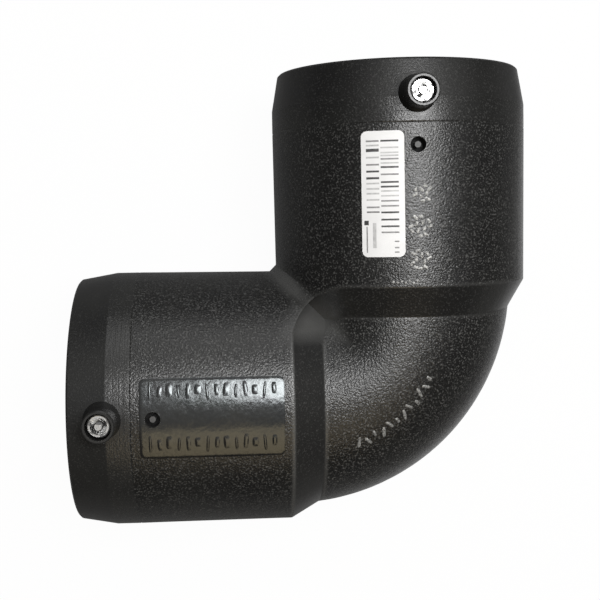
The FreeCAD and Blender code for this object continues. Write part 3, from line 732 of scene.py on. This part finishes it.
class ELBOW_OT_marks(ElbowOperator, bpy.types.Operator):
    """Makes the round raised marks on the upper collar and the arc of strokes on the bend"""

    bl_idname = "elbow.marks"
    bl_label = "Raised marks"

    def execute(self, context):
        settings = context.scene.elbow_marks
        self.add_round_marks(settings)
        self.add_bend_strokes(settings)
        return {"FINISHED"}

    def add_round_marks(self, settings):
        """A row of round marks, each a ring of strokes with some further in, and a line of dabs
        behind them."""
        grids = []
        for setback, turn, count, share in ROUND_MARKS:
            order = np.arange(count)
            angle = order * 360 / count
            spoke = settings.mark_radius * share * np.where(order % 3 == 2, 0.42, 0.85)
            along = setback * MM + spoke * np.cos(np.radians(angle))
            across = spoke * np.sin(np.radians(angle))
            lean = angle + np.where(order % 2 == 0, 90, 20)
            length = (1.9 + 0.5 * (order % 2)) * MM
            along, across, lift = strokes(along, across, lean, length, 1.15 * MM, settings.relief)
            grids.append(on_arm("upper", along, turn + across * TURN_PER_METRE, lift))

        order = np.arange(7)
        along = (93.6 + 0.5 * np.sin(order * 2.9)) * MM
        across = (-11.0 + 1.7 * order) * MM
        lean = 40.0 * np.sin(order * 1.9)
        along, across, lift = strokes(along, across, lean, 1.1 * MM, 0.8 * MM, settings.relief)
        grids.append(on_arm("upper", along, across * TURN_PER_METRE, lift))
        add_grids("round_marks", np.concatenate(grids), marks_with_painted_glints("scuffed_polyethylene", 0.62))

    def add_bend_strokes(self, settings):
        """An arc of short strokes that lean either way, a little to the outer side of the bend's
        top."""
        count = settings.bend_strokes
        order = np.arange(count)
        sweep = np.linspace(34, 68, count)
        turn = 16.5 + np.linspace(0, 4.5, count) + 1.2 * np.sin(order * 2.6)
        mean_turn = 18.0
        lean = 90 + 24 * np.sin(order * 2.1)
        length = (3.0 + 1.1 * (order % 3)) * MM
        none = np.zeros(count)
        along, across, lift = strokes(none, none, lean, length, 1.3 * MM, settings.relief)
        reach = BEND_RADIUS + BEND_TOP * np.sin(np.radians(mean_turn))
        grids = on_bend(sweep[:, None, None] + np.degrees(along / reach),
                        turn[:, None, None] + np.degrees(across / BEND_TOP), lift)
        add_grids("bend_strokes", grids, marks_with_painted_glints("faint_scuffs", 0.3))


class ELBOW_OT_stage(ElbowOperator, bpy.types.Operator):
    """Sets up the camera, the floor, the lights and the world"""

    bl_idname = "elbow.stage"
    bl_label = "Studio"

    def execute(self, context):
        settings = context.scene.elbow_stage
        scene = context.scene
        scene.view_settings.view_transform = "Standard"
        self.add_camera(scene, settings)
        self.add_floor()
        self.add_world(scene)
        self.add_light("key", settings.key_power, (0.46, 0.33), (0.2, 0.2, 1.0))
        self.add_light("back", settings.back_power, (1.2, 0.9), (0.2, 1.3, 0.75), 60)
        self.add_light("card", settings.card_power, (0.6, 0.5), (0.12, -0.62, 0.92), -30,
                       (1.0, 0.80, 0.50))
        return {"FINISHED"}

    def add_camera(self, scene, settings):
        """The camera of the photograph, looking almost straight down."""
        lens = bpy.data.cameras.new("camera")
        lens.lens = settings.lens
        lens.sensor_width = 36
        lens.shift_x, lens.shift_y = settings.shift
        lens.clip_start = 0.01
        camera = bpy.data.objects.new("camera", lens)
        camera.location = settings.camera_place
        camera.rotation_euler = settings.camera_turn
        scene.collection.objects.link(camera)
        scene.camera = camera

    def add_floor(self):
        """A wide floor that looks white to the camera and keeps a soft shadow there. It throws
        little light back. In reflections it glows, mostly close to the object on the outer side of
        the upper arm: a painted reflection of floor lit on that side, and dim elsewhere as painted
        shade."""
        tone, tone_to_camera = 0.08, 0.88
        far_white, near_white = 0.1, 0.7
        glow_share = 0.965
        finish = Finish("pale_floor")
        path = finish.add("ShaderNodeLightPath").outputs
        camera = path["Is Camera Ray"]
        finish.set(Base_Color=finish.math("MULTIPLY_ADD", camera, tone_to_camera - tone, tone),
                   Roughness=0.8, Specular_IOR_Level=0.2)
        # The glow seen in reflections is painted light: brighter near the object on its lit right
        # side, and dim elsewhere as painted shade.
        away = finish.add("ShaderNodeVectorMath", {"operation": "LENGTH"}, Vector=finish.place)
        near = finish.math("MULTIPLY", finish.fade(away.outputs["Value"], 0.21, 0.15),
                           finish.fade(finish.axes()["X"], 0.0, 0.09))
        white = finish.math("MULTIPLY_ADD", near, near_white - far_white, far_white)
        mirrored = finish.math("MULTIPLY", path["Is Glossy Ray"], white)
        seen = finish.math("MAXIMUM", camera, path["Is Transmission Ray"])
        seen = finish.math("MAXIMUM", seen, mirrored)
        glow = finish.add("ShaderNodeEmission", Color=(1.0, 1.0, 1.0, 1.0), Strength=1.0)
        mix = finish.add("ShaderNodeMixShader", Fac=finish.math("MULTIPLY", seen, glow_share))
        finish.feed(mix.inputs[1], finish.shader.outputs[0])
        finish.feed(mix.inputs[2], glow.outputs[0])
        finish.feed(finish.tree.nodes["Material Output"].inputs["Surface"], mix.outputs[0])

        half = 3.0
        corners = [(-half, -half, 0), (half, -half, 0), (half, half, 0), (-half, half, 0)]
        mesh = bpy.data.meshes.new("floor")
        mesh.from_pydata(corners, [], [(0, 1, 2, 3)])
        mesh.materials.append(finish.material)
        floor = bpy.data.objects.new("floor", mesh)
        bpy.context.collection.objects.link(floor)

    def add_world(self, scene):
        """A dim room, brighter overhead towards the key light, and white to the camera."""
        overhead = (0.18, 0.33, 0.92)
        world = bpy.data.worlds.new("studio")
        world.use_nodes = True
        scene.world = world
        nodes = Nodes(world.node_tree)
        facing = nodes.add("ShaderNodeVectorMath", {"operation": "DOT_PRODUCT"})
        nodes.feed(facing.inputs[0], nodes.add("ShaderNodeTexCoord").outputs["Generated"])
        nodes.feed(facing.inputs[1], overhead)
        room = nodes.ramp(facing.outputs["Value"], [(0.5, 0.05), (1.0, 0.6)])
        path = nodes.add("ShaderNodeLightPath").outputs
        seen = nodes.math("MAXIMUM", path["Is Camera Ray"], path["Is Transmission Ray"])
        background = world.node_tree.nodes["Background"]
        nodes.feed(background.inputs["Color"], nodes.mix(seen, room, (1.0, 1.0, 1.0, 1.0)))
        nodes.feed(background.inputs["Strength"], 1.0)

    def add_light(self, name, power, size, place, tip=0.0, colour=(1.0, 1.0, 1.0)):
        """A rectangular soft light that faces down, tipped about X by the given degrees."""
        lamp = bpy.data.lights.new(name, "AREA")
        lamp.shape = "RECTANGLE"
        lamp.energy = power
        lamp.color = colour
        lamp.size, lamp.size_y = size
        light = bpy.data.objects.new(name, lamp)
        light.location = place
        light.rotation_euler = (np.radians(-tip), 0, 0)
        bpy.context.collection.objects.link(light)


class ELBOW_PT_tools(bpy.types.Panel):
    """Lists the elbow's pieces and their settings"""

    bl_label = "Pipe elbow"
    bl_idname = "ELBOW_PT_tools"
    bl_space_type = "VIEW_3D"
    bl_region_type = "UI"
    bl_category = "Pipe elbow"

    def draw(self, context):
        for operator, settings in STEPS:
            box = self.layout.box()
            box.operator(operator)
            if settings:
                group = getattr(context.scene, settings)
                for name in group.__annotations__:
                    box.prop(group, name)


GROUPS = {
    "elbow_moulding": MouldingSettings,
    "elbow_label": LabelSettings,
    "elbow_window": WindowSettings,
    "elbow_marks": MarkSettings,
    "elbow_stage": StageSettings,
}
STEPS = (
    ("elbow.moulding", "elbow_moulding"),
    ("elbow.terminals", None),
    ("elbow.label", "elbow_label"),
    ("elbow.window", "elbow_window"),
    ("elbow.marks", "elbow_marks"),
    ("elbow.stage", "elbow_stage"),
)
CLASSES = (
    *GROUPS.values(),
    ELBOW_OT_moulding,
    ELBOW_OT_terminals,
    ELBOW_OT_label,
    ELBOW_OT_window,
    ELBOW_OT_marks,
    ELBOW_OT_stage,
    ELBOW_PT_tools,
)


def register():
    for item in CLASSES:
        bpy.utils.register_class(item)
    for name, group in GROUPS.items():
        setattr(bpy.types.Scene, name, PointerProperty(type=group))


def unregister():
    for name in GROUPS:
        delattr(bpy.types.Scene, name)
    for item in reversed(CLASSES):
        bpy.utils.unregister_class(item)


def main():
    """Runs every step in order."""
    register()
    for operator, _ in STEPS:
        group, name = operator.split(".")
        getattr(getattr(bpy.ops, group), name)()


if __name__ == "__main__":
    main()
